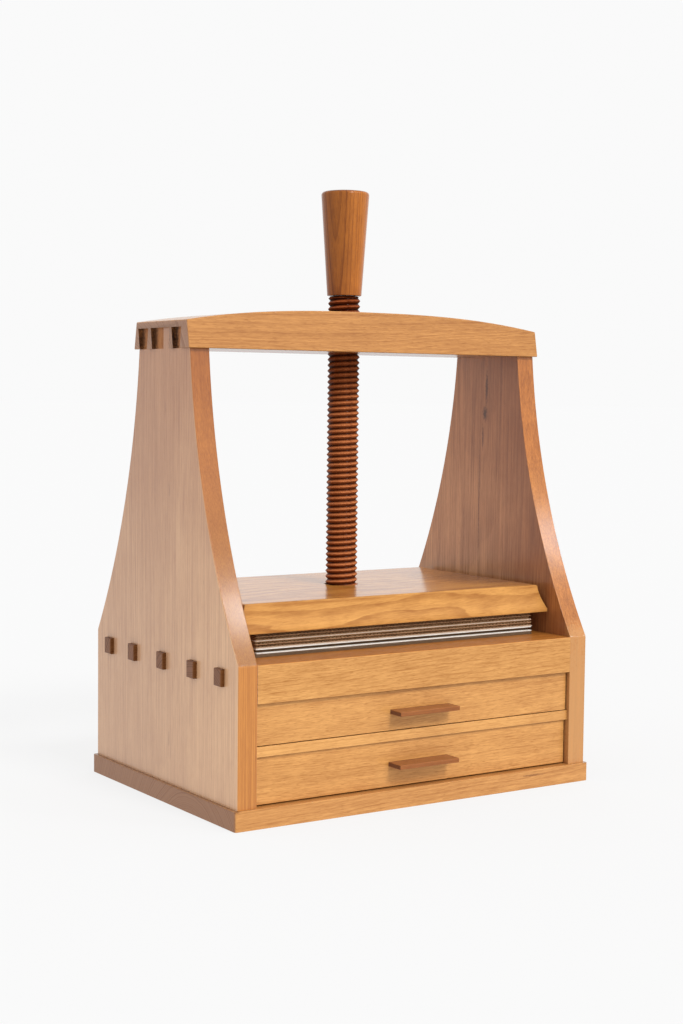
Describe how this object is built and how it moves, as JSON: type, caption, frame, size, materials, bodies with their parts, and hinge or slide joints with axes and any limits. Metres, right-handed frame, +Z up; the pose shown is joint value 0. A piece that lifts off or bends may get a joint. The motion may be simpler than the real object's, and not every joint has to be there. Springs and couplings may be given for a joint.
{
  "type": "screw press",
  "caption": "Small hardwood screw press: a wooden screw lowers a platen onto a stack of boards and papers, over two shallow drawers.",
  "frame": {"origin": "centre of the base board's underside, under the screw's axis", "axes": "+X to the right along the front, +Y to the back, +Z up along the screw; the drawers open towards -Y"},
  "size_m": [0.389, 0.2841, 0.5567],
  "materials": {
    "cherry": "satin oiled cherry",
    "dark_cherry": "satin, darker reddish wood",
    "drawer_wood": "matt, plain cherry",
    "steel": "zinc plated",
    "brass": "plain brass",
    "paper": "matt white blotting paper",
    "cardboard": "brown corrugated board",
    "dark_board": "dark grey-brown board"
  },
  "bodies": {
    "frame": {"base_board": "cherry", "left_side_panel": "cherry", "right_side_panel": "cherry", "bed_board": "cherry", "top_beam": "cherry", "back_panel": "cherry", "drawer_divider": "cherry", "left_runner": "drawer_wood", "right_runner": "drawer_wood", "upper_drawer_stop": "drawer_wood", "lower_drawer_stop": "drawer_wood", "base_screw_1": "steel", "base_screw_2": "steel", "base_screw_3": "steel", "base_screw_4": "steel", "base_screw_5": "steel", "base_screw_6": "steel"},
    "platen": {"platen_board": "cherry", "thrust_washer": "brass"},
    "screw": {"press_screw": "dark_cherry", "handle": "cherry", "foot_washer": "steel", "foot_wood_screw": "steel"},
    "upper_drawer": {"upper_drawer_front": "cherry", "upper_drawer_left_side": "drawer_wood", "upper_drawer_right_side": "drawer_wood", "upper_drawer_back": "drawer_wood", "upper_drawer_bottom": "drawer_wood", "upper_drawer_pull": "dark_cherry"},
    "lower_drawer": {"lower_drawer_front": "cherry", "lower_drawer_left_side": "drawer_wood", "lower_drawer_right_side": "drawer_wood", "lower_drawer_back": "drawer_wood", "lower_drawer_bottom": "drawer_wood", "lower_drawer_pull": "dark_cherry"},
    "stack": {"bottom_board": "cardboard", "blotter_1": "paper", "blotter_2": "paper", "middle_board": "dark_board", "blotter_3": "paper", "blotter_4": "paper", "corrugated_board_1": "cardboard", "corrugated_board_2": "cardboard", "blotter_5": "paper", "corrugated_board_3": "cardboard", "corrugated_board_4": "cardboard"}
  },
  "joints": [
    {"name": "platen_travel", "type": "slide", "parent": "frame", "child": "platen", "axis": [0, 0, 1], "range_m": [0, 0.2165]},
    {"name": "screw_turn", "type": "hinge", "parent": "platen", "child": "screw", "pos_m": [0, 0, 0.3], "axis": [0, 0, 1], "range_deg": [0, 14800]},
    {"name": "upper_drawer_slide", "type": "slide", "parent": "frame", "child": "upper_drawer", "axis": [0, -1, 0], "range_m": [0, 0.17]},
    {"name": "lower_drawer_slide", "type": "slide", "parent": "frame", "child": "lower_drawer", "axis": [0, -1, 0], "range_m": [0, 0.17]},
    {"name": "stack_slide", "type": "slide", "parent": "frame", "child": "stack", "axis": [0, -1, 0], "range_m": [0, 0.24]}
  ],
  "couplings": [
    {"joint": "screw_turn", "follows": "platen_travel", "rad_per_m": 1192.7}
  ]
}
